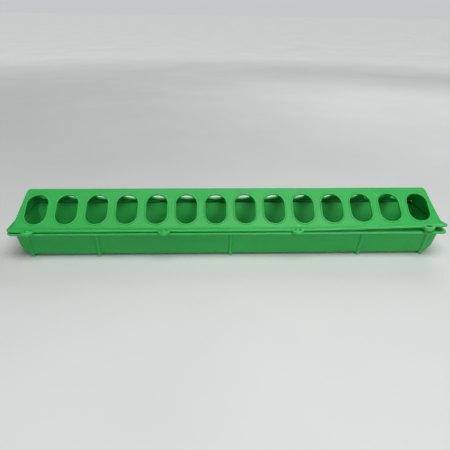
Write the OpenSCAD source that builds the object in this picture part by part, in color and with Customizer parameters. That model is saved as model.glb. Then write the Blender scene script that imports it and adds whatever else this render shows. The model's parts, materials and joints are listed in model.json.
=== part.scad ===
// Covered trough feeder for chicks: a long moulded trough on small feet, with a gable-roofed lid of
// feed holes that hinges on the back edge and snaps over pegs on the front edge.
// Millimetres. X runs along the trough, the front (snap) edge faces -Y, and +Z is up.
// The origin is on the ground under the centre of the feeder.

/* [Overall] */
// Length over the end flanges
overall_l = 510; // [490:1:530]
// Width over the two long flanges
flange_w = 99; // [97:0.5:102]
// Wall thickness of both mouldings
wall = 1.6; // [1.4:0.1:2.2]
// Gap between the two flanges when the lid is shut
parting_gap = 1.7; // [0.8:0.1:2]
// Corner radius of the two flanges seen from above
flange_corner_r = 6; // [3:0.5:9]

/* [Trough] */
// Height of the rim above the ground
rim_h = 36.8; // [34:0.2:44]
// Height of the feet below the tub
foot_h = 3; // [2.5:0.5:6]
// Outer width of the tub under the rim
tub_top_w = 88; // [84:0.5:89]
// Outer width of the tub where its rounded bottom edge starts
tub_floor_w = 72; // [66:0.2:78]
// Radius of the bottom edge along the two long sides
tub_side_r = 2.6; // [2:0.2:6]
// How far each end wall leans in from the rim to where it starts to curve under
tub_end_lean = 3.7; // [2:0.1:8]
// How far each end wall has come in where it meets the floor
tub_end_tuck = 14.5; // [10:0.5:20]
// Height above the floor where the end walls start to curve under
tub_end_curve_h = 11; // [8:0.5:16]
// Corner radius of the tub seen from above
tub_corner_r = 8; // [6:0.5:12]
// Height of the rim's turned-down edge
rim_edge_h = 2.6; // [2.4:0.1:3.4]

/* [Ribs and feet] */
// Distance of the ribs from the middle of each long side
rib_places = [0, 156, 234];
// Thickness of a rib
rib_t = 3.6; // [2:0.1:5]
// How far a rib stands out from the wall
rib_out = 2.2; // [1:0.1:3]
// Width over the feet, front to back
feet_w = 73; // [66:0.2:78]
// Length of a foot along the trough
foot_l = 4; // [3:0.1:8]
// Width of a foot across the trough
foot_w = 8; // [5:0.5:12]

/* [Lid] */
// Width of the roof where it meets the flange
roof_w = 88.5; // [84:0.1:90]
// Angle of the two slopes above level
roof_angle = 36.35; // [30:0.05:40]
// Width of the flange beyond the end gables
end_flange_w = 5.2; // [3:0.1:8]
// How far each end gable leans in between flange and ridge
gable_lean = 8.9; // [4:0.1:12]
// Radius of the ridge
ridge_r = 2; // [1:0.5:5]
// Height of the lid's turned-down edge
lid_edge_h = 2.5; // [2.2:0.1:3.4]
// Gap between the rim and the two parts of the lid that reach down to it: ear edges and sealing rib
close_gap = 0.3; // [0.2:0.1:0.6]
// Distance from the middle to the sealing rib under the back flange
back_rib_y = 44.6; // [44.4:0.1:45.4]

/* [Feed holes] */
// Holes in each slope
holes_per_slope = 14; // [8:1:14]
// Distance from one hole to the next
hole_pitch = 34.75; // [32:0.05:34.9]
// Width of a hole
hole_w = 24.5; // [20:0.5:25]
// Length of a hole up the slope
hole_l = 39.6; // [32:0.2:40]
// Distance from the foot of the slope to a hole
hole_low = 5.6; // [3.6:0.1:6]
// Width of the raised bead round a hole
bead_w = 2; // [1:0.1:2.4]
// Height of the bead above the slope
bead_h = 1; // [0.4:0.1:1.2]

/* [Snap ears] */
// Distance between neighbouring ears, and between neighbouring hinge clips
ear_pitch = 153.7; // [140:0.1:156]
// Ears on each long edge
ear_count = 4; // [2:2:4]
// Radius of a lid ear
ear_r = 6.8; // [6.6:0.1:8]
// Radius of a trough ear
trough_ear_r = 4.4; // [4.2:0.1:5]
// Radius of the hole in a lid ear
ear_hole_r = 3.5; // [3.2:0.1:3.6]
// Radius of a snap peg below its head
peg_r = 2; // [1.8:0.1:2.5]
// Radius of a snap peg's head
peg_head_r = 2.4; // [2.2:0.05:2.6]
// How far the pegs stand in from the middle of their holes, so that they hook the inner side
peg_inset = 0.7; // [0:0.1:0.8]
// Radius of the shoulder that carries the lid ear
shoulder_r = 4.2; // [3.5:0.1:4.2]

/* [Hinge] */
// Radius of the hinge pins moulded on the trough
pin_r = 1.75; // [1.5:0.05:2]
// Running clearance between pin and clip
pin_clearance = 0.07; // [0.04:0.01:0.1]
// Outer radius of a hinge clip and of the pin's cheeks
clip_r = 3.4; // [3.2:0.05:3.4]
// Length of a hinge clip along the pin
clip_l = 8; // [6:0.5:12]
// Mouth of a hinge clip, narrower than the pin
clip_mouth = 2.9; // [2.6:0.1:2.9]
// Thickness of the cheeks that hold a pin
cheek_t = 2.2; // [1.8:0.1:3]
// Side clearance between a clip and its cheeks
cheek_gap = 0.4; // [0.2:0.1:1]

/* [Hidden] */
$fn = 48;
lap = 0.01;
moulding_green = [0.13, 0.66, 0.28];

half_l = overall_l / 2;
half_w = flange_w / 2;
lid_z = rim_h + parting_gap;
flange_z = lid_z + lid_edge_h;
edge_lip_w = 1.6;

rim_under_z = rim_h - rim_edge_h;
tub_top_l = overall_l - 9;
tub_end_r = 5;

roof_l = overall_l - 2 * end_flange_w;
roof_rise = roof_w / 2 * tan(roof_angle);
gable_slope = gable_lean / roof_rise;

hinge_y = half_w + clip_r + 0.4;
hinge_z = lid_z + lid_edge_h / 2;
hinge_gap_y = hinge_y - clip_r;
ear_clip_y = 4;

function ear_x(i) = (i - (ear_count - 1) / 2) * ear_pitch;
function hole_x(i) = (i - (holes_per_slope - 1) / 2) * hole_pitch;
rib_xs = concat([for (x = rib_places) x], [for (x = rib_places) if (x > 0) -x]);

// A box centred on X and Y that spans from z0 to z1
module slab(l, w, z0, z1) {
    translate([-l / 2, -w / 2, z0])
        cube([l, w, z1 - z0]);
}

// The same with its four corners rounded as seen from above
module flange_slab(inset, z0, z1) {
    r = flange_corner_r - inset;
    for (sx = [-1, 1], sy = [-1, 1]) {
        translate([sx * (half_l - inset - r), sy * (half_w - inset - r), z0])
            cylinder(r = r, h = z1 - z0);
    }
    slab(overall_l - 2 * inset, flange_w - 2 * inset - 2 * r, z0, z1);
    slab(overall_l - 2 * inset - 2 * r, flange_w - 2 * inset, z0, z1);
}

// ---- trough ----

// One corner of the tub: a cylinder at the rim, a ball where the end wall starts to curve under, and a
// flatter ball at the floor
module tub_corner(inset, sx, sy) {
    r = tub_corner_r - inset;
    end_r = tub_end_r - inset;
    side_r = tub_side_r - inset / 2;
    top_x = tub_top_l / 2 - inset;
    floor_y = tub_floor_w / 2 - inset;
    curve_share = (tub_end_curve_h - tub_side_r) / (rim_h - foot_h);
    curve_y = floor_y + (tub_top_w - tub_floor_w) / 2 * curve_share;
    translate([sx * (top_x - r), sy * (tub_top_w / 2 - inset - r), rim_h - wall / 2])
        cylinder(r = r, h = wall / 2 + inset, $fn = 32);
    translate([sx * (top_x - tub_end_lean - end_r), sy * (curve_y - end_r), foot_h + tub_end_curve_h])
        sphere(r = end_r, $fn = 32);
    translate([sx * (top_x - tub_end_tuck), sy * (floor_y - side_r), foot_h + inset + side_r])
        scale([end_r / side_r, 1, 1])
            sphere(r = side_r, $fn = 32);
}

// The tub as a solid, taken in by inset on every wall
module tub_block(inset) {
    hull() {
        for (sx = [-1, 1], sy = [-1, 1]) {
            tub_corner(inset, sx, sy);
        }
    }
}

// Flat rim with a turned-down outer edge
module trough_rim() {
    difference() {
        flange_slab(0, rim_under_z, rim_h);
        difference() {
            flange_slab(edge_lip_w, rim_under_z - 1, rim_h - wall);
            tub_block(0);
        }
    }
}

module rib() {
    top_y = tub_top_w / 2;
    low_y = feet_w / 2;
    in_wall = wall / 2;
    translate([-rib_t / 2, 0, 0])
        rotate([90, 0, 90])
            linear_extrude(rib_t)
                polygon([
                    [low_y - foot_w / 2, 0],
                    [low_y, 0],
                    [top_y + rib_out, rim_h - in_wall],
                    [top_y - in_wall, rim_h - in_wall],
                    [tub_floor_w / 2 - in_wall, foot_h + tub_side_r],
                    [low_y - foot_w / 2, foot_h + in_wall],
                ]);
    translate([-foot_l / 2, low_y - foot_w, 0])
        cube([foot_l, foot_w, foot_h + in_wall]);
}

module all_ribs() {
    for (x = rib_xs, side = [0, 1]) {
        translate([x, 0, 0])
            mirror([0, side, 0])
                rib();
    }
}

// Round ear on the front edge, from z0 to z1
module ear_plate(r, z0, z1) {
    intersection() {
        translate([0, -half_w, z0])
            cylinder(r = r, h = z1 - z0);
        translate([-2 * r, -half_w - 2 * r, z0 - 1])
            cube([4 * r, 2 * r + ear_clip_y, z1 - z0 + 2]);
    }
}

// Deep edge of a lid ear, a skirt that clears the peg's shoulder
module ear_skirt() {
    difference() {
        ear_plate(ear_r, rim_h + close_gap, lid_z + lap);
        translate([0, -half_w, rim_h])
            cylinder(r = ear_r - edge_lip_w, h = lid_z - rim_h);
    }
}

// Rib under the lid's back flange, which closes the gap beside the hinge
module back_rib() {
    low_z = rim_h + close_gap;
    top_z = flange_z - wall / 2;
    translate([-roof_l / 2, back_rib_y, low_z])
        cube([roof_l, wall, top_z - low_z]);
}

// Upright peg with a shoulder and a rounded snap head
module snap_peg() {
    neck_h = 0.6;
    tip_h = 1.2;
    tip_r = 1.4;
    head_z = flange_z - tip_h - 0.2;
    translate([0, -half_w + peg_inset, 0]) {
        translate([0, 0, rim_h - lap])
            cylinder(r = shoulder_r, h = parting_gap + lap);
        translate([0, 0, rim_h])
            cylinder(r = peg_r, h = head_z - rim_h);
        translate([0, 0, head_z - neck_h])
            cylinder(r1 = peg_r, r2 = peg_head_r, h = neck_h);
        translate([0, 0, head_z - lap])
            cylinder(r1 = peg_head_r, r2 = tip_r, h = tip_h);
    }
}

// One cheek of a hinge: a round eye on a web that rises from the rim's back edge
module hinge_cheek() {
    rotate([90, 0, 90])
        linear_extrude(cheek_t)
            union() {
                translate([hinge_y, hinge_z])
                    circle(r = clip_r);
                polygon([
                    [half_w - 2.5, rim_under_z],
                    [hinge_y + 1.2, rim_under_z],
                    [hinge_y + clip_r, rim_under_z + 2.8],
                    [hinge_y + clip_r, hinge_z],
                    [hinge_gap_y, hinge_z],
                    [hinge_gap_y, rim_h],
                    [half_w - 2.5, rim_h],
                ]);
            }
}

module hinge_post() {
    inner_x = clip_l / 2 + cheek_gap;
    for (side = [0, 1]) {
        mirror([side, 0, 0])
            translate([inner_x, 0, 0])
                hinge_cheek();
    }
    translate([-inner_x - cheek_t / 2, hinge_y, hinge_z])
        rotate([0, 90, 0])
            cylinder(r = pin_r, h = 2 * inner_x + cheek_t);
}

module trough() {
    color(moulding_green) {
        difference() {
            union() {
                tub_block(0);
                trough_rim();
                all_ribs();
            }
            tub_block(wall);
        }
        for (i = [0 : ear_count - 1]) {
            translate([ear_x(i), 0, 0]) {
                ear_plate(trough_ear_r, rim_h - wall, rim_h);
                snap_peg();
                hinge_post();
            }
        }
    }
}

// ---- lid ----

// Cross-section of the roof, taken in by inset, from z = foot_z up
module roof_section(inset, foot_z) {
    drop = inset / cos(roof_angle);
    apex_z = flange_z + roof_rise - drop;
    foot_y = (apex_z - foot_z) / tan(roof_angle);
    r = max(ridge_r - inset, 0.5);
    round_z = apex_z - r / cos(roof_angle);
    steps = 8;
    arc = [
        for (i = [-steps : steps])
            let (a = roof_angle * i / steps)
            [r * sin(a), round_z + r * cos(a)]
    ];
    polygon(concat([[-foot_y, foot_z]], arc, [[foot_y, foot_z]]));
}

// Long section of the roof between the leaning gables, taken in by inset
module gable_section(inset, foot_z) {
    foot_x = roof_l / 2 + (flange_z - foot_z) * gable_slope - inset;
    top_z = flange_z + roof_rise + 1;
    top_x = roof_l / 2 - (top_z - flange_z) * gable_slope - inset;
    polygon([[-foot_x, foot_z], [foot_x, foot_z], [top_x, top_z], [-top_x, top_z]]);
}

module roof_block(inset, foot_z) {
    intersection() {
        translate([-half_l, 0, 0])
            rotate([90, 0, 90])
                linear_extrude(overall_l)
                    roof_section(inset, foot_z);
        translate([0, half_w, 0])
            rotate([90, 0, 0])
                linear_extrude(flange_w)
                    gable_section(inset, foot_z);
    }
}

// Flat outline of a feed hole, grown by grow
module hole_outline(grow) {
    r = hole_w / 2 + grow;
    reach = (hole_l - hole_w) / 2;
    translate([-r, -reach])
        square([2 * r, 2 * reach]);
    for (s = [-1, 1]) {
        translate([0, s * reach])
            circle(r = r);
    }
}

// Places its children at every feed hole, with +Z straight out of the slope
module at_holes() {
    centre = hole_low + hole_l / 2;
    for (i = [0 : holes_per_slope - 1], turn = [0, 180]) {
        rotate([0, 0, turn])
            translate([hole_x(i), -roof_w / 2, flange_z])
                rotate([roof_angle, 0, 0])
                    translate([0, centre, 0])
                        children();
    }
}

module hole_bead() {
    translate([0, 0, -wall / 2])
        linear_extrude(wall / 2 + bead_h)
            hole_outline(bead_w);
}

module hole_cut() {
    translate([0, 0, -2 * wall])
        linear_extrude(4 * wall)
            hole_outline(0);
}

// Flat flange with a turned-down outer edge
module lid_flange() {
    difference() {
        flange_slab(0, lid_z, flange_z);
        flange_slab(edge_lip_w, lid_z - 1, flange_z - wall);
    }
}

// Clip that snaps down over a hinge pin, with its arm to the flange
module hinge_clip() {
    difference() {
        union() {
            translate([-clip_l / 2, hinge_y, hinge_z])
                rotate([0, 90, 0])
                    cylinder(r = clip_r, h = clip_l);
            translate([-clip_l / 2, half_w - 2, lid_z])
                cube([clip_l, hinge_y - half_w, lid_edge_h]);
        }
        translate([-clip_l, hinge_y, hinge_z])
            rotate([0, 90, 0])
                cylinder(r = pin_r + pin_clearance, h = 2 * clip_l);
        translate([-clip_l, hinge_y - clip_mouth / 2, hinge_z - 2 * clip_r])
            cube([2 * clip_l, clip_mouth, 2 * clip_r]);
    }
}

module lid() {
    color(moulding_green) {
        difference() {
            union() {
                roof_block(0, flange_z - wall / 2);
                lid_flange();
                back_rib();
                at_holes() hole_bead();
                for (i = [0 : ear_count - 1]) {
                    translate([ear_x(i), 0, 0]) {
                        ear_plate(ear_r, lid_z, flange_z);
                        ear_skirt();
                    }
                }
            }
            roof_block(wall, flange_z - wall - lap);
            at_holes() hole_cut();
            for (i = [0 : ear_count - 1]) {
                translate([ear_x(i), -half_w, lid_z - 1])
                    cylinder(r = ear_hole_r, h = lid_edge_h + 2);
            }
        }
        for (i = [0 : ear_count - 1]) {
            translate([ear_x(i), 0, 0])
                hinge_clip();
        }
    }
}

trough();
lid();
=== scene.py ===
import json
import math

import bmesh
import bpy
from mathutils import Matrix, Vector, noise


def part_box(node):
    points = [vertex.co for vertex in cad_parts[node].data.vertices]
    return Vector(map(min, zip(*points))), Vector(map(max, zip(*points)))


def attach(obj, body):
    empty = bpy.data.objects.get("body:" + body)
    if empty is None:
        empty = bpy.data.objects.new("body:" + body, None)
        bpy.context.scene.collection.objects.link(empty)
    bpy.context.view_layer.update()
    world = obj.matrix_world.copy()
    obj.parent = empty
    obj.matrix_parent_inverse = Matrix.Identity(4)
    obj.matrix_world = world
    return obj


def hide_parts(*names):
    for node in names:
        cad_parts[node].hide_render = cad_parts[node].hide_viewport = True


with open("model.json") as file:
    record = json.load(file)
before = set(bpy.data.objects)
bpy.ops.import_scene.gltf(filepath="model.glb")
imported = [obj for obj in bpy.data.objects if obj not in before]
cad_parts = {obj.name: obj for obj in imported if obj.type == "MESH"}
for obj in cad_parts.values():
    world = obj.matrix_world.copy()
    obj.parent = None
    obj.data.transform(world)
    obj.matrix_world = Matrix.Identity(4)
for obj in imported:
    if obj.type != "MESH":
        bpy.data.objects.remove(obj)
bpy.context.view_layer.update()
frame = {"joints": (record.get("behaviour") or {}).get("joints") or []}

# ---------------------------------------------------------------------------
# Sizes in millimetres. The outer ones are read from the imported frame.
# ---------------------------------------------------------------------------
MM = 0.001

hinge = next(j for j in frame["joints"] if j["name"] == "lid_hinge")
HINGE_Y, HINGE_Z = hinge["pos_m"][1] / MM, hinge["pos_m"][2] / MM
lid_low, lid_high = (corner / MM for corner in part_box("lid"))

SIDE_GAP = 0.4
PARTING_GAP = 1.7
WALL = 1.6
LID_EDGE_H = 2.5
RIM_EDGE_H = 2.6

CLIP_R = lid_high.y - HINGE_Y
HALF_L = lid_high.x
HALF_W = HINGE_Y - CLIP_R - SIDE_GAP
RIDGE_Z = lid_high.z
LID_Z = HINGE_Z - LID_EDGE_H / 2
FLANGE_Z = HINGE_Z + LID_EDGE_H / 2
RIM_Z = LID_Z - PARTING_GAP

# Roof
ROOF_ANGLE = math.radians(36.35)
RIDGE_R = 2.0
CREASE_R = 4.0
GABLE_LEAN = 8.9 / 32.56
GABLE_TOP_R = 5.0
GABLE_FOOT_R = 1.2
HIP_R = 2.2
INNER_R = 0.6
END_FLANGE = 5.2
SIN, COS, TAN = math.sin(ROOF_ANGLE), math.cos(ROOF_ANGLE), math.tan(ROOF_ANGLE)
ROOF_W = (RIDGE_Z + RIDGE_R * (1 / COS - 1) - FLANGE_Z) / TAN
ROOF_L = HALF_L - END_FLANGE

# Feed holes, with v measured up the slope from the foot of the roof. The mesh has a cell round each.
HOLES = 14
HOLE_PITCH = 34.75
HOLE_R = 24.5 / 2
HOLE_L = 39.6
HOLE_LOW = 5.6
HOLE_SPINE = HOLE_L / 2 - HOLE_R
HOLE_V = HOLE_LOW + HOLE_L / 2
CELL_V = (3.0, 48.1)

# Edges of the holes, each as (distance from the hole, height). The feed holes' heights are from the slope's
# outer face, and the ear holes' are from the flange's top and from its underside.
BEAD = (
    (0.0, 0.3), (0.1, 0.65), (0.35, 0.93), (0.7, 1.0), (1.1, 0.95),
    (1.4, 0.72), (1.7, 0.3), (1.85, 0.1), (2.0, 0.0),
)
HOLE_UNDERSIDE = ((0.0, -WALL + 0.5), (0.15, -WALL + 0.16), (0.5, -WALL))
EAR_HOLE_TOP = ((0.0, -0.45), (0.1, -0.15), (0.4, 0.0))
EAR_HOLE_UNDERSIDE = ((0.0, 0.3), (0.3, 0.0))

# Snap ears and pegs
EAR_PITCH = 153.7
EAR_XS = [(i - 1.5) * EAR_PITCH for i in range(4)]
EAR_R = -lid_low.y - HALF_W
EAR_FLARE = 1.5
EAR_HOLE_R = 3.5
CLOSE_GAP = 0.3
BACK_RIB_Y = 44.6
TROUGH_EAR_R = 4.4
SHOULDER_R = 4.2
SHOULDER_GAP = 0.06
PEG_R = 2.0
PEG_HEAD_R = 2.4
PEG_HEAD_DROP = 1.4
PEG_TIP_R = 1.4
PEG_INSET = 0.7

# Tub of the trough
TUB_X = HALF_L - 4.5
TUB_Y = 44.0
TUB_FLOOR_Y = 36.0
TUB_CORNER_R = 8.0
SIDE_R = 2.6
END_R = 5.0
END_LEAN = 3.7
END_TUCK = 14.5
END_CURVE_H = 11.0
FOOT_H = 3.0
FEET_HALF_W = 36.5

# Ribs, feet and hinge. The rib's profile is (distance from its middle, share of its height).
RIB_XS = [0, 156, 234, -156, -234]
RIB_OUT = 2.2
RIB_PROFILE = ((0, 1), (0.6, 0.96), (1.1, 0.84), (1.55, 0.62), (1.9, 0.36), (2.2, 0.12), (2.6, 0))
FOOT_SIZE = (4.0, 8.0, 4.2)
PIN_R = 1.75
BORE_R = 1.82
CLIP_L = 8.0
CLIP_MOUTH = 2.9
CHEEK_T = 2.2

# The lid's front right corner has sprung off its peg and stands this high
LIFT = 5.0
LIFT_START = 85.0
LIFT_ALONG_POWER = 1.15
LIFT_ACROSS_POWER = 4.5
ROOF_LEAN = 0.0026

# The mouldings' slight unevenness. Without its own seed, Blender's noise starts from the clock.
RIPPLE_H = 0.16
RIPPLE_SCALE = 0.018
noise.seed_set(7)

# Mesh steps. Columns inside a bend keep their x on every ring. Those outside it follow the ring's length.
END_STEPS = 22
CORNER_STEPS = 6
CORNER_R = 6.0
EDGE_X = HALF_L - CORNER_R
LID_BEND_X = 236.0
TROUGH_BEND_X = 230.0


# ---------------------------------------------------------------------------
# Rings: closed loops of points that run round the feeder at one level
# ---------------------------------------------------------------------------
def no_swell(x):
    """A long side that stays straight."""
    return 0.0


class Ring:
    """A loop's points in order: front side, right end, back side, left end, with round corners between."""

    def __init__(self, columns):
        self.columns = sorted(columns)
        self.n = len(self.columns)
        self.right = self.n + CORNER_STEPS - 1
        self.back = self.right + END_STEPS + CORNER_STEPS
        self.left = self.back + self.n + CORNER_STEPS - 1

    def on(self, side, column):
        """Index of a column's point on the front (-1) or back (1) side."""
        return column if side < 0 else self.back + self.n - 1 - column

    def edge(self, side, column):
        """Index of the edge that runs from a column to the next one to its right."""
        return column if side < 0 else self.on(side, column + 1)

    def nearest(self, x):
        return min(range(self.n), key=lambda i: abs(self.columns[i] - x))

    def fitted(self, reach, bend_x):
        """Column positions on a loop whose straight side ends at reach."""
        share = (reach - bend_x) / (EDGE_X - bend_x)
        return [
            x if abs(x) <= bend_x else math.copysign(bend_x + (abs(x) - bend_x) * share, x)
            for x in self.columns
        ]

    def points(self, half_x, half_y, rx, ry, z, bend_x, front=None, swell=no_swell):
        """A rounded rectangle. front replaces the front side, and swell(x) pushes both long sides out."""
        xs = self.fitted(half_x - rx, bend_x)
        front_side = front or [(x, -half_y - swell(x)) for x in xs]
        back_side = [(x, half_y + swell(x)) for x in reversed(xs)]
        rows = [(-1 + 2 * k / END_STEPS) * (half_y - ry) for k in range(END_STEPS + 1)]
        loop = list(front_side)
        loop += self.corner(half_x - rx, -half_y + ry, rx, ry, -90)
        loop += [(half_x, y) for y in rows]
        loop += self.corner(half_x - rx, half_y - ry, rx, ry, 0)
        loop += back_side
        loop += self.corner(-half_x + rx, half_y - ry, rx, ry, 90)
        loop += [(-half_x, -y) for y in rows]
        loop += self.corner(-half_x + rx, -half_y + ry, rx, ry, 180)
        return [Vector((x, y, z)) for x, y in loop]

    @staticmethod
    def corner(cx, cy, rx, ry, start):
        """The points of a quarter turn between its two ends, which belong to the sides."""
        angles = [math.radians(start + 90 * k / CORNER_STEPS) for k in range(1, CORNER_STEPS)]
        return [(cx + rx * math.cos(a), cy + ry * math.sin(a)) for a in angles]


def mixed(a, b, share):
    """The ring that lies a share of the way from ring a to ring b."""
    return [p.lerp(q, share) for p, q in zip(a, b)]


def spaced(start, end, step):
    """Even places from start to end, about a step apart."""
    count = max(1, round((end - start) / step))
    return [start + (end - start) * k / count for k in range(count + 1)]


def with_fill(kept, fill, gap):
    """The kept columns, plus those fill columns that aren't too close to one."""
    return sorted(kept + [x for x in fill if min(abs(x - k) for k in kept) > gap])


# ---------------------------------------------------------------------------
# Edge outline with its round ears
# ---------------------------------------------------------------------------
FLARE_X = math.sqrt((EAR_R + EAR_FLARE) ** 2 - EAR_FLARE**2)
TOUCH_X = FLARE_X * EAR_R / (EAR_R + EAR_FLARE)


def ear_reach(x):
    """How far the front edge stands out at x: a round ear with a small flare on each side."""
    dx = min(abs(x - ear) for ear in EAR_XS)
    if dx <= TOUCH_X:
        return math.sqrt(EAR_R**2 - dx**2)
    if dx < FLARE_X:
        return EAR_FLARE - math.sqrt(EAR_FLARE**2 - (FLARE_X - dx) ** 2)
    return 0.0


def ear_columns():
    steps = [k * math.asin(TOUCH_X / EAR_R) / 6 for k in range(-6, 7)]
    flare = [FLARE_X, (FLARE_X * 2 + TOUCH_X) / 3, (FLARE_X + TOUCH_X * 2) / 3]
    offsets = [EAR_R * math.sin(a) for a in steps] + flare + [-d for d in flare]
    return [ear + d for ear in EAR_XS for d in offsets]


def front_outline(columns, inset):
    """The front edge moved inset towards the middle, square to itself."""
    line = [(x, -HALF_W - ear_reach(x)) for x in columns]
    moved = []
    for i, (x, y) in enumerate(line):
        xa, ya = line[max(i - 1, 0)]
        xb, yb = line[min(i + 1, len(line) - 1)]
        length = math.hypot(xb - xa, yb - ya)
        moved.append((x - inset * (yb - ya) / length, y + inset * (xb - xa) / length))
    return moved


def flange_edge(ring, top_z, low_z, plate_z, deepen=None):
    """Rings from the top of a flange, over its rounded turned-down edge, to the plate's underside.

    A lid's edge runs out round the ears and reaches deepen lower there. Steps are (distance in, height).
    """
    steps = [
        (1.2, top_z), (0.6, top_z - 0.16), (0.18, top_z - 0.5), (0.0, top_z - 1.0),
        (0.0, low_z + 0.6), (0.1, low_z + 0.2), (0.4, low_z), (1.1, low_z),
        (1.45, low_z + 0.12), (1.6, low_z + 0.4), (1.7, plate_z),
    ]
    rings = []
    for d, z in steps:
        front = front_outline(ring.columns, d) if deepen else None
        r = CORNER_R - d
        loop = ring.points(HALF_L - d, HALF_W - d, r, r, z, HALF_L / 2, front=front)
        if deepen and z < plate_z:
            for i, x in enumerate(ring.columns):
                loop[i].z -= deepen * min(1.0, ear_reach(x))
        rings.append(loop)
    return rings


# ---------------------------------------------------------------------------
# Mesh helpers
# ---------------------------------------------------------------------------
def skin(bm, rings, left_out):
    """Vertices for every ring, and quads between neighbours except where left_out has (ring, edge)."""
    verts = [[bm.verts.new(p) for p in ring] for ring in rings]
    total = len(rings[0])
    for j in range(len(rings) - 1):
        for i in range(total):
            if (j, i) in left_out:
                continue
            k = (i + 1) % total
            bm.faces.new((verts[j][i], verts[j][k], verts[j + 1][k], verts[j + 1][i]))
    return verts


def cap(bm, ring, verts, z):
    """Fills a square-cornered loop with a grid whose lines meet the loop's own points."""
    rows = [[verts[ring.on(-1, i)] for i in range(ring.n)]]
    for k in range(1, END_STEPS):
        left = verts[ring.left + END_STEPS - k]
        right = verts[ring.right + k]
        inner = [bm.verts.new((verts[i].co.x, right.co.y, z)) for i in range(1, ring.n - 1)]
        rows.append([left] + inner + [right])
    rows.append([verts[ring.on(1, i)] for i in range(ring.n)])
    for low, high in zip(rows, rows[1:]):
        for i in range(ring.n - 1):
            bm.faces.new((low[i], low[i + 1], high[i + 1], high[i]))


def round_hole(bm, border, flat, place, centre, spine, radius, profile):
    """Fills the face between a border and a round or oval hole, and returns the hole's edge.

    flat holds the border's flat coordinates, and place(u, v, h) puts a flat point in space at height h.
    spine is half the length of an oval's middle line. profile lists (distance from the hole, height).
    """
    rays = []
    for u, v in flat:
        foot = centre[1] + max(-spine, min(spine, v - centre[1]))
        du, dv = u - centre[0], v - foot
        reach = math.hypot(du, dv)
        rays.append((foot, du / reach, dv / reach, reach))

    def loop_at(radii, h):
        return [
            bm.verts.new(place(centre[0] + du * r, foot + dv * r, h))
            for (foot, du, dv, _), r in zip(rays, radii)
        ]

    loops = [loop_at([radius + d] * len(rays), h) for d, h in profile]
    last_d, last_h = profile[-1]
    halfway = [(radius + last_d + reach) / 2 for _, _, _, reach in rays]
    loops.append(loop_at(halfway, last_h))
    loops.append(border)
    for inner, outer in zip(loops, loops[1:]):
        join_loops(bm, inner, outer)
    return loops[0]


def join_loops(bm, a, b):
    """Quads between two closed loops of the same length."""
    n = len(a)
    for i in range(n):
        k = (i + 1) % n
        bm.faces.new((a[i], a[k], b[k], b[i]))


def around(columns, levels):
    """(column, level) pairs round a block of a grid, once each, in order."""
    first, last = columns[0], columns[-1]
    pairs = [(c, levels[0]) for c in columns]
    pairs += [(last, j) for j in levels[1:]]
    pairs += [(c, levels[-1]) for c in reversed(columns[:-1])]
    pairs += [(first, j) for j in reversed(levels[1:-1])]
    return pairs


def lathe(bm, profile, place, steps=28):
    """A closed turned solid. profile lists (radius, height), starting and ending on the axis."""
    loops = []
    for r, h in profile[1:-1]:
        turn = [2 * math.pi * k / steps for k in range(steps)]
        loops.append([bm.verts.new(place(r * math.cos(a), r * math.sin(a), h)) for a in turn])
    for a, b in zip(loops, loops[1:]):
        join_loops(bm, a, b)
    for loop, (_, h) in ((loops[0], profile[0]), (loops[-1], profile[-1])):
        tip = bm.verts.new(place(0, 0, h))
        for i in range(steps):
            bm.faces.new((loop[i], loop[(i + 1) % steps], tip))


def soften_edges(part, edges, width):
    bmesh.ops.bevel(
        part, geom=edges, offset=width, segments=3, profile=0.5, affect="EDGES", clamp_overlap=True
    )


def plate(bm, outline, x0, x1, soften):
    """A flat piece with a Y-Z outline between two X places, with softened edges."""
    part = bmesh.new()
    sides = [[part.verts.new((x, y, z)) for y, z in outline] for x in (x0, x1)]
    join_loops(part, sides[0], sides[1])
    caps = [part.faces.new(reversed(sides[0])), part.faces.new(sides[1])]
    soften_edges(part, [e for f in caps for e in f.edges], soften)
    add_part(bm, part)


def add_part(bm, part):
    """Moves a small finished mesh into a bigger one."""
    bmesh.ops.recalc_face_normals(part, faces=part.faces)
    twin = {v: bm.verts.new(v.co) for v in part.verts}
    for f in part.faces:
        bm.faces.new([twin[v] for v in f.verts])
    part.free()


def rounded_block(bm, low, high, soften):
    """A box between two corners, with softened edges."""
    part = bmesh.new()
    bmesh.ops.create_cube(part, size=1)
    middle, size = (Vector(low) + Vector(high)) / 2, Vector(high) - Vector(low)
    for v in part.verts:
        v.co = middle + Vector(a * b for a, b in zip(v.co, size))
    soften_edges(part, part.edges[:], soften)
    add_part(bm, part)


def arc(cy, cz, r, start, end, steps):
    """Points on a Y-Z arc, angles in degrees from +Y towards +Z."""
    turns = [math.radians(start + (end - start) * k / steps) for k in range(steps + 1)]
    return [(cy + r * math.cos(a), cz + r * math.sin(a)) for a in turns]


def finish_moulding(bm, name, body, material, shape):
    """Welds, shapes and hands over one moulding."""
    bmesh.ops.remove_doubles(bm, verts=bm.verts, dist=0.002)
    bmesh.ops.dissolve_degenerate(bm, edges=bm.edges, dist=0.0005)
    loose = [v for v in bm.verts if not v.link_faces]
    bmesh.ops.delete(bm, geom=loose, context="VERTS")
    bmesh.ops.recalc_face_normals(bm, faces=bm.faces)
    for v in bm.verts:
        v.co = (v.co + shape(v.co)) * MM
    mesh = bpy.data.meshes.new(name)
    bm.to_mesh(mesh)
    bm.free()
    for polygon in mesh.polygons:
        polygon.use_smooth = True
    mesh.materials.append(material)
    piece = bpy.data.objects.new(name, mesh)
    bpy.context.scene.collection.objects.link(piece)
    weigh = piece.modifiers.new("even_normals", "WEIGHTED_NORMAL")
    weigh.weight = 80
    weigh.keep_sharp = True
    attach(piece, body)
    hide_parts(body)


def ripple(p):
    """The slight unevenness of a long thin moulding."""
    wave = noise.noise_vector(p * RIPPLE_SCALE) * RIPPLE_H
    wave.x = 0
    return wave


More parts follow.
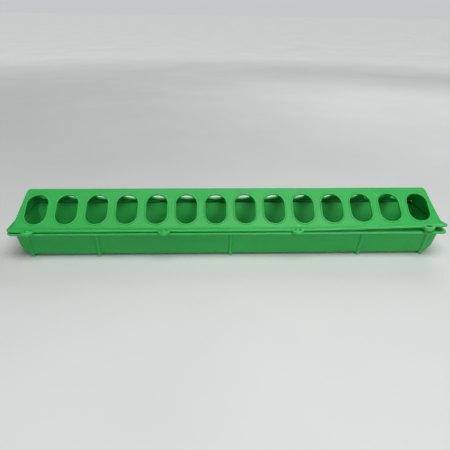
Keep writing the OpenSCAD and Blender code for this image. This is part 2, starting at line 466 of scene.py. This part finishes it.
# ---------------------------------------------------------------------------
# Lid
# ---------------------------------------------------------------------------
GABLE_ANGLE = math.atan(1 / GABLE_LEAN)


def gable_x(z):
    """Outer face of the gable end at height z, rounded into the ridge and into the flange."""
    plane = ROOF_L - (z - FLANGE_Z) * GABLE_LEAN
    top_z = RIDGE_Z - GABLE_TOP_R
    if z > top_z + GABLE_TOP_R * math.cos(GABLE_ANGLE):
        corner = ROOF_L - (RIDGE_Z - FLANGE_Z) * GABLE_LEAN
        centre = corner - GABLE_TOP_R * math.tan(GABLE_ANGLE / 2)
        return centre + math.sqrt(max(0.0, GABLE_TOP_R**2 - (z - top_z) ** 2))
    foot_z = FLANGE_Z + GABLE_FOOT_R
    if z < foot_z - GABLE_FOOT_R * math.cos(GABLE_ANGLE):
        centre = ROOF_L + GABLE_FOOT_R * math.tan(GABLE_ANGLE / 2)
        return centre - math.sqrt(max(0.0, GABLE_FOOT_R**2 - (foot_z - z) ** 2))
    return plane


def gable_inner_x(z):
    return ROOF_L - (z - FLANGE_Z) * GABLE_LEAN - WALL * math.hypot(1, GABLE_LEAN)


def slope_yz(v, h):
    """Distance from the ridge plane and height of a point v up the slope and h out of it."""
    return ROOF_W - v * COS + h * SIN, FLANGE_Z + v * SIN + h * COS


def lid_level(ring, half_x, half_y, radius, z):
    """One ring of the roof. Its corners get tighter where the roof is narrow."""
    r = min(radius, half_y)
    return ring.points(half_x, half_y, r, r, z, LID_BEND_X)


def roof_outside(ring, levels):
    """Rings from the ridge down to the flange, and where those at the levels of the hole cells are."""
    rows = []
    for k in range(6):
        turn = ROOF_ANGLE * k / 5
        rows.append((RIDGE_R * math.sin(turn), RIDGE_Z - RIDGE_R + RIDGE_R * math.cos(turn)))
    ridge_v = ROOF_W / COS - RIDGE_R * TAN
    rows += [slope_yz(ridge_v - down, 0) for down in (1.2, 3.0)]
    places = {v: len(rows) + k for k, v in enumerate(reversed(levels))}
    rows += [slope_yz(v, 0) for v in reversed(levels)]
    crease_y = ROOF_W + CREASE_R * math.tan(ROOF_ANGLE / 2)
    for k in range(7):
        turn = ROOF_ANGLE * (1 - k / 6)
        rows.append((crease_y - CREASE_R * math.sin(turn), FLANGE_Z + CREASE_R * (1 - math.cos(turn))))
    return [lid_level(ring, gable_x(z), y, HIP_R, z) for y, z in rows], places


def roof_inside(ring, levels):
    """Rings from the flange up to the ridge, and where those at the levels of the hole cells are."""
    foot_levels = [-0.1, 0.9]
    rows = [slope_yz(v, -WALL) for v in foot_levels + levels]
    places = {v: len(foot_levels) + k for k, v in enumerate(levels)}
    y, z = rows[-1]
    rows += [(y * (1 - share), z + y * share * TAN) for share in (0.35, 0.7, 1.0)]
    return [lid_level(ring, gable_inner_x(z), y, INNER_R, z) for y, z in rows], places


def lid_rings(ring, levels):
    """All of the lid's rings, outside from ridge to edge and then inside from edge to ridge.

    Also returns where in that list the levels of the hole cells are, outside and inside, and which rings
    carry the ears, on top and underneath.
    """
    plate_z = FLANGE_Z - WALL
    rings, outer = roof_outside(ring, levels)
    roof_foot = rings[-1]
    top_start = len(rings) - 1
    edge = flange_edge(ring, FLANGE_Z, LID_Z, plate_z, deepen=PARTING_GAP - CLOSE_GAP)
    rings += [mixed(roof_foot, edge[0], k / 4) for k in (1, 2, 3)]
    top_ear = list(range(top_start, len(rings) + 1))
    rings += edge
    under_start = len(rings) - 1
    # The slope's inside meets the flange's underside here
    y_under, _ = slope_yz((WALL * COS - WALL) / SIN, -WALL)
    inner_foot = ring.points(gable_inner_x(plate_z) + 0.5, y_under + 0.5, 1.0, 1.0, plate_z, LID_BEND_X)
    rings += [mixed(edge[-1], inner_foot, k / 4) for k in (1, 2, 3, 4)]
    under_ear = list(range(under_start, len(rings)))
    inside, places = roof_inside(ring, levels)
    inner = {v: len(rings) + j for v, j in places.items()}
    return rings + inside, outer, inner, top_ear, under_ear


def lid_mesh():
    bm = bmesh.new()
    borders = [(i - HOLES / 2) * HOLE_PITCH for i in range(1, HOLES)]
    fill = spaced(-EDGE_X, EDGE_X, HOLE_PITCH / 16)
    ring = Ring(with_fill(with_fill(borders + [-EDGE_X, EDGE_X], ear_columns(), 0.05), fill, 0.75))
    levels = spaced(CELL_V[0], CELL_V[1], 1.9)
    rings, outer, inner, top_ear, under_ear = lid_rings(ring, levels)
    ears = [list(range(ring.nearest(ear - FLARE_X), ring.nearest(ear + FLARE_X) + 1)) for ear in EAR_XS]

    left_out = set()
    for places in (outer, inner):
        for j in range(min(places.values()), max(places.values())):
            left_out |= {(j, ring.edge(side, i)) for side in (-1, 1) for i in range(ring.n - 1)}
    for rows in (top_ear, under_ear):
        left_out |= {(j, i) for j in rows[:-1] for block in ears for i in block[:-1]}
    verts = skin(bm, rings, left_out)

    # The end holes' blocks of columns run out to the hips
    ends = [0] + [ring.nearest(x) for x in borders] + [ring.n - 1]
    for side in (-1, 1):
        for k in range(HOLES):
            middle = (k - (HOLES - 1) / 2) * HOLE_PITCH
            pairs = around(list(range(ends[k], ends[k + 1] + 1)), levels)
            feed_hole(bm, ring, verts, side, middle, pairs, (outer, inner))
    for ear, block in zip(EAR_XS, ears):
        ear_hole(bm, verts, ear, block, (top_ear, under_ear))
        hinge_clip(bm, ear)
    seal_low = (-ROOF_L, BACK_RIB_Y, RIM_Z + CLOSE_GAP)
    seal_high = (ROOF_L, BACK_RIB_Y + WALL, FLANGE_Z - WALL / 2)
    rounded_block(bm, seal_low, seal_high, 0.3)
    return bm


def feed_hole(bm, ring, verts, side, middle, pairs, faces):
    """One feed hole with its bead, between the outside and the inside of a slope."""

    def place(u, v, h):
        y, z = slope_yz(v, h)
        return (u, side * y, z)

    edges = []
    for places, profile in zip(faces, (BEAD, HOLE_UNDERSIDE)):
        border = [verts[places[v]][ring.on(side, column)] for column, v in pairs]
        flat = [(point.co.x, v) for point, (_, v) in zip(border, pairs)]
        edges.append(round_hole(bm, border, flat, place, (middle, HOLE_V), HOLE_SPINE, HOLE_R, profile))
    join_loops(bm, edges[0], edges[1])


def ear_hole(bm, verts, ear, block, faces):
    """The round hole through one ear, between the flange's top and its underside."""
    top, under = faces
    edges = []
    for rows, profile, z in (
        (top, EAR_HOLE_TOP, FLANGE_Z),
        (under[::-1], EAR_HOLE_UNDERSIDE, FLANGE_Z - WALL),
    ):

        def place(u, v, h):
            return (u, v, z + h)

        border = [verts[j][column] for column, j in around(block, rows)]
        flat = [(point.co.x, point.co.y) for point in border]
        edges.append(round_hole(bm, border, flat, place, (ear, -HALF_W), 0, EAR_HOLE_R, profile))
    join_loops(bm, edges[0], edges[1])


def hinge_clip(bm, x):
    """Hook that snaps down over a hinge pin, with a short arm to the flange."""
    half_mouth = math.degrees(math.asin(CLIP_MOUTH / 2 / BORE_R))
    outer_mouth = math.degrees(math.asin(CLIP_MOUTH / 2 / CLIP_R))
    arm_z = LID_EDGE_H / 2 - 0.1
    arm_turn = math.degrees(math.asin(arm_z / CLIP_R))
    outline = [(HALF_W - 1.5, HINGE_Z + arm_z)]
    outline += arc(HINGE_Y, HINGE_Z, CLIP_R, 180 - arm_turn, -90 + outer_mouth, 24)
    outline += arc(HINGE_Y, HINGE_Z, BORE_R, -90 + half_mouth, 270 - half_mouth, 24)
    outline += arc(HINGE_Y, HINGE_Z, CLIP_R, 270 - outer_mouth, 180 + arm_turn, 6)
    outline += [(HALF_W - 1.5, HINGE_Z - arm_z)]
    plate(bm, list(reversed(outline)), x - CLIP_L / 2, x + CLIP_L / 2, 0.3)


def lid_shape(p):
    """Ripple that fades at the hinge, a slight lean of the roof, and the lift of the front right corner."""
    along = max(0.0, (p.x - LIFT_START) / (HALF_L - LIFT_START))
    across = min(1.0, max(0.0, (HINGE_Y - p.y) / (HINGE_Y + HALF_W)))
    move = ripple(p) * min(1.0, across * 4)
    move.z += ROOF_LEAN * p.x * max(0.0, (p.z - FLANGE_Z) / (RIDGE_Z - FLANGE_Z))
    move.z += LIFT * along**LIFT_ALONG_POWER * across**LIFT_ACROSS_POWER
    return move


# ---------------------------------------------------------------------------
# Trough
# ---------------------------------------------------------------------------
def rib_swell(x):
    """How far the long walls stand out at x: ribs with nearly square sides."""
    dx = min(abs(x - rib) for rib in RIB_XS)
    for (x0, s0), (x1, s1) in zip(RIB_PROFILE, RIB_PROFILE[1:]):
        if dx <= x1:
            return RIB_OUT * (s0 + (s1 - s0) * (dx - x0) / (x1 - x0))
    return 0.0


def rib_columns():
    offsets = [x for x, _ in RIB_PROFILE] + [-x for x, _ in RIB_PROFILE[1:]]
    return [rib + d for rib in RIB_XS for d in offsets]


def hull_profile(discs):
    """Outline round a stack of ellipses (x, z, rx, rz), as (z, x) from the top one down to the floor."""
    line = []
    for k in range(91):
        nx, nz = math.cos(math.radians(k)), -math.sin(math.radians(k))
        best = None
        for x, z, rx, rz in discs:
            reach = math.hypot(rx * nx, rz * nz)
            px, pz = (x + rx * rx * nx / reach, z + rz * rz * nz / reach) if reach else (x, z)
            far = px * nx + pz * nz
            if best is None or far > best[0]:
                best = (far, pz, px)
        line.append(best[1:])
    return line


def reach_at(line, z):
    """The x of a profile at height z."""
    for (z0, x0), (z1, x1) in zip(line, line[1:]):
        if z0 >= z >= z1 and z0 > z1:
            return x0 + (x1 - x0) * (z0 - z) / (z0 - z1)
    return line[0][1] if z > line[0][0] else line[-1][1]


def tub_rings(ring, inset, swell):
    """Rings down one face of the tub's wall, from the rim to the flat of the floor."""
    side_r = SIDE_R - inset / 2
    low_z = FOOT_H + inset + side_r
    ends = hull_profile([
        (TUB_X - inset, RIM_Z, 0, 0),
        (TUB_X - END_LEAN - END_R, FOOT_H + END_CURVE_H, END_R - inset, END_R - inset),
        (TUB_X - END_TUCK - inset, low_z, END_R - inset, side_r),
    ])
    sides = hull_profile([
        (TUB_Y - inset, RIM_Z, 0, 0),
        (TUB_FLOOR_Y - inset - side_r, low_z, side_r, side_r),
    ])
    heights = [(z, 1.0) for z in spaced(low_z, RIM_Z - WALL, 2.6)[::-1]]
    turns = [math.radians(15 * k) for k in range(1, 7)]
    heights += [(low_z - side_r * math.sin(t), math.cos(t)) for t in turns]
    rings = []
    for z, fade in heights:
        share = max(0.0, (z - low_z) / (RIM_Z - WALL - low_z))
        r = (END_R - inset + (TUB_CORNER_R - END_R) * share) * fade
        half_x, half_y = reach_at(ends, z), reach_at(sides, z)

        def faded(x):
            return swell(x) * fade

        rings.append(ring.points(half_x, half_y, r, r, z, TROUGH_BEND_X, swell=faded))
    return rings


def trough_mesh():
    bm = bmesh.new()
    fill = spaced(-EDGE_X, EDGE_X, 4.0)
    ring = Ring(with_fill(rib_columns() + [-EDGE_X, EDGE_X], fill, 1.6))
    inside = tub_rings(ring, WALL, no_swell)
    outside = tub_rings(ring, 0, rib_swell)
    plate_z = RIM_Z - WALL
    edge = flange_edge(ring, RIM_Z, RIM_Z - RIM_EDGE_H, plate_z)
    half_x, half_y, r = TUB_X - WALL, TUB_Y - WALL, TUB_CORNER_R - WALL
    lip = [
        ring.points(half_x + d, half_y + d, r + d, r + d, RIM_Z - drop, TROUGH_BEND_X)
        for d, drop in ((0.12, 0.75), (0.3, 0.25), (0.8, 0.0))
    ]
    rings = list(reversed(inside)) + lip
    rings += [mixed(lip[-1], edge[0], k / 3) for k in (1, 2)]
    rings += edge
    rings += [mixed(edge[-1], outside[0], k / 3) for k in (1, 2)]
    rings += outside
    verts = skin(bm, rings, set())
    cap(bm, ring, verts[0], rings[0][0].z)
    cap(bm, ring, verts[-1], rings[-1][0].z)

    for rib in RIB_XS:
        for side in (-1, 1):
            foot(bm, rib, side)
    for ear in EAR_XS:
        snap_peg(bm, ear)
        hinge_post(bm, ear)
    return bm


def foot(bm, x, side):
    """A small foot under the end of a rib."""
    length, width, height = FOOT_SIZE
    ys = sorted((side * FEET_HALF_W, side * (FEET_HALF_W - width)))
    rounded_block(bm, (x - length / 2, ys[0], 0), (x + length / 2, ys[1], height), 0.9)


def snap_peg(bm, x):
    """Trough ear and its peg: a shoulder for the lid's ear to rest on and a rounded head."""
    low_z, top_z = RIM_Z - WALL + 0.05, RIM_Z - 0.02
    ear = [
        (0, low_z), (TROUGH_EAR_R - 0.4, low_z), (TROUGH_EAR_R, RIM_Z - WALL + 0.4),
        (TROUGH_EAR_R, RIM_Z - 0.4), (TROUGH_EAR_R - 0.25, top_z), (0, top_z),
    ]
    root_z = RIM_Z - 0.4
    shoulder_z = FLANGE_Z - WALL - SHOULDER_GAP
    shoulder = [
        (0, root_z), (SHOULDER_R, root_z), (SHOULDER_R, shoulder_z - 0.35),
        (SHOULDER_R - 0.1, shoulder_z - 0.1), (SHOULDER_R - 0.35, shoulder_z),
    ]
    head_z = FLANGE_Z - PEG_HEAD_DROP
    head = [
        (PEG_R + 0.15, shoulder_z), (PEG_R, shoulder_z + 0.1), (PEG_R, head_z - 0.5),
        (PEG_HEAD_R, head_z), (PEG_HEAD_R, head_z + 0.3), (PEG_R, head_z + 0.8),
        (PEG_TIP_R, head_z + 1.1), (PEG_TIP_R - 0.7, head_z + 1.18), (0, head_z + 1.2),
    ]
    lathe(bm, ear, lambda a, b, h: (x + a, -HALF_W + b, h))
    lathe(bm, shoulder + head, lambda a, b, h: (x + a, PEG_INSET - HALF_W + b, h))


def hinge_post(bm, x):
    """Two cheeks on the back edge with a pin between them."""
    inner_x = CLIP_L / 2 + SIDE_GAP
    low_z = RIM_Z - RIM_EDGE_H
    root_y, root_z = HALF_W - 2.5, RIM_Z - 0.15
    back_y = HINGE_Y + CLIP_R
    outline = [
        (root_y, root_z), (root_y, low_z + 0.1), (HINGE_Y + 1.2, low_z + 0.1),
        (back_y - 0.6, low_z + 1.9), (back_y, low_z + 3.2),
    ]
    outline += arc(HINGE_Y, HINGE_Z, CLIP_R, 0, 180, 20)
    outline += [(HINGE_Y - CLIP_R, root_z)]
    for side in (-1, 1):
        xs = sorted((x + side * inner_x, x + side * (inner_x + CHEEK_T)))
        plate(bm, outline, xs[0], xs[1], 0.35)
    half = inner_x + CHEEK_T / 2
    profile = [(0, -half), (PIN_R, -half), (PIN_R, half), (0, half)]
    lathe(bm, profile, lambda a, b, h: (x + h, HINGE_Y + a, HINGE_Z + b))


def trough_shape(p):
    """Ripple that dies out low down at the feet and at the back by the hinge."""
    away = min(1.0, max(0.0, (p.z - FOOT_H) / 12), max(0.0, (HALF_W - p.y) / 10))
    return ripple(p) * away


# ---------------------------------------------------------------------------
# Materials
# ---------------------------------------------------------------------------
GREEN = (0.027, 0.41, 0.078)
FLOOR_DARK = (0.585, 0.60, 0.59, 1)
FLOOR_PALE = (0.625, 0.64, 0.63, 1)
FLOOR_GLOW = 0.86


class Nodes:
    """Short calls for building a material's nodes."""

    def __init__(self, name):
        self.material = bpy.data.materials.new(name)
        self.material.use_nodes = True
        self.tree = self.material.node_tree
        self.shader = self.tree.nodes["Principled BSDF"]
        self.place = self.add("ShaderNodeTexCoord").outputs["Object"]

    def add(self, kind, **values):
        node = self.tree.nodes.new(kind)
        for key, value in values.items():
            setattr(node, key, value)
        return node

    def link(self, source, target):
        self.tree.links.new(source, target)

    def put(self, target, value):
        if isinstance(value, bpy.types.NodeSocket):
            self.link(value, target)
        else:
            target.default_value = value

    def noise(self, scale, detail, roughness, stretch=(1, 1, 1), distortion=0.0):
        """Clouds from 0 to 1, with scale of them to a metre."""
        mapping = self.add("ShaderNodeMapping")
        mapping.inputs["Scale"].default_value = stretch
        self.link(self.place, mapping.inputs["Vector"])
        node = self.add("ShaderNodeTexNoise")
        self.link(mapping.outputs["Vector"], node.inputs["Vector"])
        node.inputs["Scale"].default_value = scale
        node.inputs["Detail"].default_value = detail
        node.inputs["Roughness"].default_value = roughness
        node.inputs["Distortion"].default_value = distortion
        return node.outputs["Fac"]

    def span(self, value, low, high, to_low=0.0, to_high=1.0):
        """A value stretched from low..high to to_low..to_high, and held at the ends."""
        node = self.add("ShaderNodeMapRange")
        numbers = {"From Min": low, "From Max": high, "To Min": to_low, "To Max": to_high}
        for key, number in numbers.items():
            node.inputs[key].default_value = number
        self.link(value, node.inputs["Value"])
        return node.outputs["Result"]

    def mix(self, share, a, b):
        """Two colours mixed. Sockets 6, 7 and 2 are the colour ones of A, B and the result."""
        node = self.add("ShaderNodeMix", data_type="RGBA")
        self.put(node.inputs["Factor"], share)
        self.put(node.inputs[6], a)
        self.put(node.inputs[7], b)
        return node.outputs[2]

    def maths(self, operation, a, b):
        node = self.add("ShaderNodeMath", operation=operation)
        self.put(node.inputs[0], a)
        self.put(node.inputs[1], b)
        return node.outputs[0]

    def bump(self, height, strength, distance, under=None):
        node = self.add("ShaderNodeBump")
        node.inputs["Strength"].default_value = strength
        node.inputs["Distance"].default_value = distance
        self.link(height, node.inputs["Height"])
        if under is not None:
            self.link(under, node.inputs["Normal"])
        return node.outputs["Normal"]


def tinted(colour, times, plus=(0, 0, 0)):
    """A variant of a base colour."""
    return tuple(c * t + p for c, t, p in zip(colour, times, plus)) + (1,)


def pigment(n, colour):
    """Uneven colour with flow marks, paler on edges for scuffs and a painted highlight, and darker in the
    corners as painted shade.
    """
    pale = tinted(colour, (1.9, 1.12, 1.5), (0.012, 0.01, 0.012))
    worn_and_highlit = tinted(colour, (3, 1.25, 2), (0.05, 0.03, 0.05))
    deep = tinted(colour, (0.75, 0.86, 0.8))
    clouds = n.span(n.noise(7, 3, 0.55), 0.32, 0.68)
    base = n.mix(clouds, deep, (*colour, 1))
    flow = n.span(n.noise(11, 4, 0.6, stretch=(0.5, 2.2, 2.2), distortion=0.6), 0.46, 0.74, 0.0, 0.3)
    base = n.mix(flow, base, pale)
    pointiness = n.add("ShaderNodeNewGeometry").outputs["Pointiness"]
    # Edges: scuffed wear plus a painted highlight. Sharp convex edges are mixed towards a paler green.
    edge = n.span(pointiness, 0.52, 0.6)
    breakup = n.span(n.noise(110, 3, 0.6), 0.35, 0.6, 0.3, 0.9)
    base = n.mix(n.maths("MULTIPLY", edge, breakup), base, worn_and_highlit)
    # Painted shade: hollows and creases are mixed towards the deeper green, as if shade fell there.
    painted_corner_shade = n.span(pointiness, 0.47, 0.40, 0.0, 0.35)
    return n.mix(painted_corner_shade, base, deep)


def moulded_plastic(name, colour, gloss):
    """Semi-gloss polypropylene that lets a little light in, with waves, fine grain and scratches."""
    n = Nodes(name)
    n.link(pigment(n, colour), n.shader.inputs["Base Color"])
    scratches = n.span(n.noise(420, 2, 0.5, stretch=(0.07, 1.0, 1.0), distortion=0.2), 0.66, 0.74)
    rough = n.span(n.noise(26, 4, 0.6), 0.3, 0.7, gloss - 0.04, gloss + 0.07)
    rough = n.maths("ADD", rough, n.maths("MULTIPLY", scratches, 0.12))
    n.link(rough, n.shader.inputs["Roughness"])
    n.shader.inputs["IOR"].default_value = 1.49
    n.shader.inputs["Specular IOR Level"].default_value = 0.28
    n.shader.inputs["Subsurface Weight"].default_value = 0.75
    n.shader.inputs["Subsurface Radius"].default_value = (0.25, 1.0, 0.4)
    n.shader.inputs["Subsurface Scale"].default_value = 0.003
    waves = n.bump(n.noise(38, 2, 0.5), 0.25, 0.0006)
    grain = n.bump(n.noise(1600, 2, 0.5), 0.12, 0.00012, under=waves)
    marks = n.bump(scratches, 0.08, 0.00005, under=grain)
    n.link(marks, n.shader.inputs["Normal"])
    return n.material


def floor_material():
    """Pale floor that glows where the lamps no longer reach, so that it looks even."""
    n = Nodes("pale_floor")
    base = n.mix(n.span(n.noise(4, 4, 0.5), 0.3, 0.7), FLOOR_DARK, FLOOR_PALE)
    n.link(base, n.shader.inputs["Base Color"])
    n.shader.inputs["Roughness"].default_value = 0.75
    n.shader.inputs["Specular IOR Level"].default_value = 0.2
    n.link(n.bump(n.noise(300, 3, 0.5), 0.06, 0.0003), n.shader.inputs["Normal"])
    distance = n.add("ShaderNodeVectorMath", operation="LENGTH")
    n.link(n.place, distance.inputs[0])
    glow = n.span(distance.outputs["Value"], 0.35, 2.6, 0.0, FLOOR_GLOW)
    n.link(base, n.shader.inputs["Emission Color"])
    n.link(glow, n.shader.inputs["Emission Strength"])
    return n.material


# ---------------------------------------------------------------------------
# Stage, light and camera (metres from here on)
# ---------------------------------------------------------------------------
FLOOR_HALF = 40.0
AIR_GLOW = 0.1
HORIZON_GLOW = 0.58


def studio_floor():
    """One flat sheet, wide enough to reach the horizon."""
    bm = bmesh.new()
    corners = [(-1, -1), (1, -1), (1, 1), (-1, 1)]
    bm.faces.new([bm.verts.new((x * FLOOR_HALF, y * FLOOR_HALF, 0)) for x, y in corners])
    mesh = bpy.data.meshes.new("studio_floor")
    bm.to_mesh(mesh)
    bm.free()
    mesh.materials.append(floor_material())
    sheet = bpy.data.objects.new("studio_floor", mesh)
    bpy.context.scene.collection.objects.link(sheet)


def soft_light(name, place, aim, size, power):
    """A white panel lamp, turned to its aim and left out of the picture itself."""
    data = bpy.data.lights.new(name, "AREA")
    data.shape = "RECTANGLE"
    data.size, data.size_y = size
    data.energy = power
    lamp = bpy.data.objects.new(name, data)
    lamp.location = place
    lamp.visible_camera = False
    lamp.rotation_euler = (Vector(aim) - Vector(place)).to_track_quat("-Z", "Y").to_euler()
    bpy.context.scene.collection.objects.link(lamp)


def studio_air():
    """A faint glow from all round, which the camera sees as bright as the floor."""
    world = bpy.data.worlds.new("studio_air")
    world.use_nodes = True
    nodes = world.node_tree.nodes
    path = nodes.new("ShaderNodeLightPath")
    strength = nodes.new("ShaderNodeMath")
    strength.operation = "MULTIPLY_ADD"
    strength.inputs[1].default_value = HORIZON_GLOW - AIR_GLOW
    strength.inputs[2].default_value = AIR_GLOW
    world.node_tree.links.new(path.outputs["Is Camera Ray"], strength.inputs[0])
    world.node_tree.links.new(strength.outputs[0], nodes["Background"].inputs["Strength"])
    nodes["Background"].inputs["Color"].default_value = (0.97, 0.99, 1.0, 1)
    bpy.context.scene.world = world


def lighting():
    studio_air()
    soft_light("ceiling_lamp", place=(0.1, -0.6, 1.4), aim=(0, 0, 0), size=(1.2, 0.8), power=20.5)
    soft_light("front_lamp", place=(0.35, -1.7, 0.98), aim=(0, 0, 0.03), size=(0.5, 0.5), power=10)
    soft_light("back_lamp", place=(0.7, 1.15, 0.9), aim=(0, 0, 0.03), size=(1.0, 0.6), power=6)


def camera():
    """The view of the reference: a low three-quarter view from the front, almost square on."""
    turn, height, roll = math.radians(2.655), math.radians(24.76), math.radians(0.877)
    aim = Vector((-0.00515, 0, 0.02946))
    distance = 0.5683
    along_floor = math.cos(height)
    ahead = Vector((math.sin(turn) * along_floor, math.cos(turn) * along_floor, -math.sin(height)))
    level = Vector((math.cos(turn), -math.sin(turn), 0))
    above = level.cross(ahead)
    right = level * math.cos(roll) + above * math.sin(roll)
    up = above * math.cos(roll) - level * math.sin(roll)
    data = bpy.data.cameras.new("view")
    data.sensor_width = 36
    data.lens = 36.22
    data.shift_y = -0.0091
    data.clip_start = 0.01
    view = bpy.data.objects.new("view", data)
    view.matrix_world = Matrix((right, up, -ahead)).transposed().to_4x4()
    view.location = aim - ahead * distance
    bpy.context.scene.collection.objects.link(view)
    bpy.context.scene.camera = view


# ---------------------------------------------------------------------------
# Build
# ---------------------------------------------------------------------------
finish_moulding(lid_mesh(), "lid_moulding", "lid",
                moulded_plastic("lid_green", GREEN, 0.36), lid_shape)
finish_moulding(trough_mesh(), "trough_moulding", "trough",
                moulded_plastic("trough_green", GREEN, 0.38), trough_shape)
studio_floor()
lighting()
camera()
bpy.context.scene.view_settings.view_transform = "Standard"
